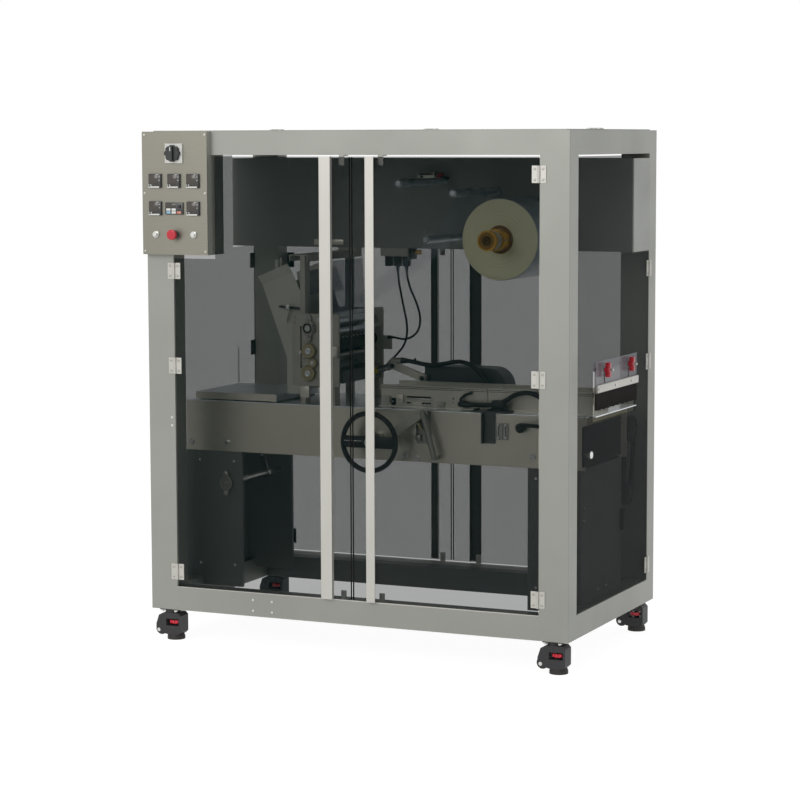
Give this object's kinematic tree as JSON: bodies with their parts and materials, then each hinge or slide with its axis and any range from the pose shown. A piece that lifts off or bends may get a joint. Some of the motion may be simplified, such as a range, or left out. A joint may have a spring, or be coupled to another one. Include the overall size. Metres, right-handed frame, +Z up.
{
  "type": "guarded shrink wrapping machine",
  "caption": "Shrink wrapping machine: welded cabinet frame on levelling casters with clear hinged doors, film reel, guide rollers, film head and conveyor.",
  "frame": {"origin": "centre of the footprint on the floor, bottom centre of the whole machine", "axes": "+X to the right along the conveyor towards the outlet, +Y to the back, +Z up; the front doors and the control panel face -Y"},
  "size_m": [1.638, 0.961, 1.822],
  "materials": {
    "frame_paint": "satin light grey paint",
    "dark_paint": "satin dark grey paint",
    "black_paint": "satin black paint",
    "pedestal_paint": "satin blue grey paint",
    "head_paint": "satin warm grey paint",
    "clear_panel": "smoke tinted acrylic sheet",
    "anodised": "pale anodised",
    "stainless": "brushed stainless sheet",
    "roller_steel": "satin turned",
    "bright_steel": "bright zinc",
    "black_plastic": "fine texture",
    "red_plastic": "moulded",
    "red_film": "moulded",
    "roll_film": "milky film wound tight",
    "brass_cap": "satin",
    "bristle": "nylon bristle",
    "wheel_plastic": "nylon",
    "caster_metal": "dark grey coated",
    "pad_rubber": "moulded",
    "belt_rubber": "toothed belt",
    "cable_jacket": "smooth jacket"
  },
  "bodies": {
    "frame": {"arm_loom": "cable_jacket", "base_rail": "black_paint", "bearings": "bright_steel", "cable_left": "cable_jacket", "cable_right": "cable_jacket", "caster_housings": "caster_metal", "caster_pads": "pad_rubber", "chute": "head_paint", "control_box": "frame_paint", "control_panel": "stainless", "conveyor_deck": "stainless", "conveyor_skirts": "stainless", "deck_brackets": "black_paint", "deck_loom": "cable_jacket", "deck_rails": "head_paint", "door_hardware": "anodised", "drive_belt": "belt_rubber", "drive_covers": "dark_paint", "drive_pulleys": "roller_steel", "frame_beams": "frame_paint", "frame_posts": "frame_paint", "head_frame": "head_paint", "head_rollers": "roller_steel", "infeed_cover": "stainless", "instruments": "black_plastic", "junction_box": "head_paint", "lift_shaft": "bright_steel", "outlet_tray": "stainless", "pedestals": "pedestal_paint", "release_lever": "bright_steel", "roof_panel": "frame_paint", "sealing_arm": "bright_steel", "upper_cabinet": "dark_paint"},
    "front_left_door": {"front_left_door_pane": "clear_panel", "front_left_door_fittings": "anodised"},
    "front_right_door": {"front_right_door_pane": "clear_panel", "front_right_door_fittings": "anodised"},
    "rear_left_door": {"rear_left_door_pane": "clear_panel", "rear_left_door_fittings": "anodised"},
    "rear_right_door": {"rear_right_door_pane": "clear_panel", "rear_right_door_fittings": "anodised"},
    "left_side_door": {"left_side_door_pane": "clear_panel", "left_side_door_fittings": "anodised"},
    "right_side_door": {"right_side_door_pane": "clear_panel", "right_side_door_fittings": "anodised", "outlet_guard": "clear_panel", "guard_brush": "bristle", "guard_knobs": "red_film"},
    "main_switch": {"main_switch_knob": "black_plastic"},
    "stop_button": {"emergency_stop": "red_plastic"},
    "handwheel": {"handwheel": "black_plastic"},
    "film_reel": {"film_roll": "roll_film", "film_spindle": "brass_cap"},
    "guide_roller_1": {"guide_roller_1": "roller_steel"},
    "guide_roller_2": {"guide_roller_2": "roller_steel"},
    "guide_roller_3": {"guide_roller_3": "roller_steel"},
    "caster_wheel_1": {"caster_wheel_1": "wheel_plastic"},
    "caster_wheel_2": {"caster_wheel_2": "wheel_plastic"},
    "caster_wheel_3": {"caster_wheel_3": "wheel_plastic"},
    "caster_wheel_4": {"caster_wheel_4": "wheel_plastic"}
  },
  "joints": [
    {"name": "front_left_door_hinge", "type": "hinge", "parent": "frame", "child": "front_left_door", "pos_m": [-0.7015, -0.425, 0.965], "axis": [0, 0, -1], "range_deg": [0, 170]},
    {"name": "front_right_door_hinge", "type": "hinge", "parent": "frame", "child": "front_right_door", "pos_m": [0.6735, -0.425, 0.965], "axis": [0, 0, 1], "range_deg": [0, 170]},
    {"name": "rear_left_door_hinge", "type": "hinge", "parent": "frame", "child": "rear_left_door", "pos_m": [-0.7015, 0.469, 0.785], "axis": [0, 0, 1], "range_deg": [0, 170]},
    {"name": "rear_right_door_hinge", "type": "hinge", "parent": "frame", "child": "rear_right_door", "pos_m": [0.6735, 0.469, 0.785], "axis": [0, 0, -1], "range_deg": [0, 170]},
    {"name": "left_side_door_hinge", "type": "hinge", "parent": "frame", "child": "left_side_door", "pos_m": [-0.8145, 0.384, 0.965], "axis": [0, 0, 1], "range_deg": [-170, 0]},
    {"name": "right_side_door_hinge", "type": "hinge", "parent": "frame", "child": "right_side_door", "pos_m": [0.7865, 0.384, 0.965], "axis": [0, 0, -1], "range_deg": [-170, 0]},
    {"name": "main_switch_turn", "type": "hinge", "parent": "frame", "child": "main_switch", "pos_m": [-0.6805, -0.4685, 1.737], "axis": [0, 1, 0], "range_deg": [0, 90]},
    {"name": "stop_button_press", "type": "slide", "parent": "frame", "child": "stop_button", "axis": [0, 1, 0], "range_m": [0, 0.005]},
    {"name": "handwheel_turn", "type": "hinge", "parent": "frame", "child": "handwheel", "pos_m": [-0.022, -0.2585, 0.731], "axis": [0, -1, 0], "continuous": true},
    {"name": "film_reel_turn", "type": "hinge", "parent": "frame", "child": "film_reel", "pos_m": [0.405, 0.0295, 1.438], "axis": [0, -1, 0], "continuous": true},
    {"name": "guide_roller_1_turn", "type": "hinge", "parent": "frame", "child": "guide_roller_1", "pos_m": [0.265, 0.0095, 1.598], "axis": [0, -1, 0], "continuous": true},
    {"name": "guide_roller_2_turn", "type": "hinge", "parent": "frame", "child": "guide_roller_2", "pos_m": [0.059, 0.0095, 1.632], "axis": [0, -1, 0], "continuous": true},
    {"name": "guide_roller_3_turn", "type": "hinge", "parent": "frame", "child": "guide_roller_3", "pos_m": [0.162, 0.0095, 1.437], "axis": [0, -1, 0], "continuous": true},
    {"name": "caster_wheel_1_turn", "type": "hinge", "parent": "frame", "child": "caster_wheel_1", "pos_m": [-0.79, -0.3785, 0.033], "axis": [0, -1, 0], "continuous": true},
    {"name": "caster_wheel_2_turn", "type": "hinge", "parent": "frame", "child": "caster_wheel_2", "pos_m": [-0.79, 0.4225, 0.033], "axis": [0, -1, 0], "continuous": true},
    {"name": "caster_wheel_3_turn", "type": "hinge", "parent": "frame", "child": "caster_wheel_3", "pos_m": [0.678, -0.3785, 0.033], "axis": [0, -1, 0], "continuous": true},
    {"name": "caster_wheel_4_turn", "type": "hinge", "parent": "frame", "child": "caster_wheel_4", "pos_m": [0.678, 0.4225, 0.033], "axis": [0, -1, 0], "continuous": true}
  ]
}
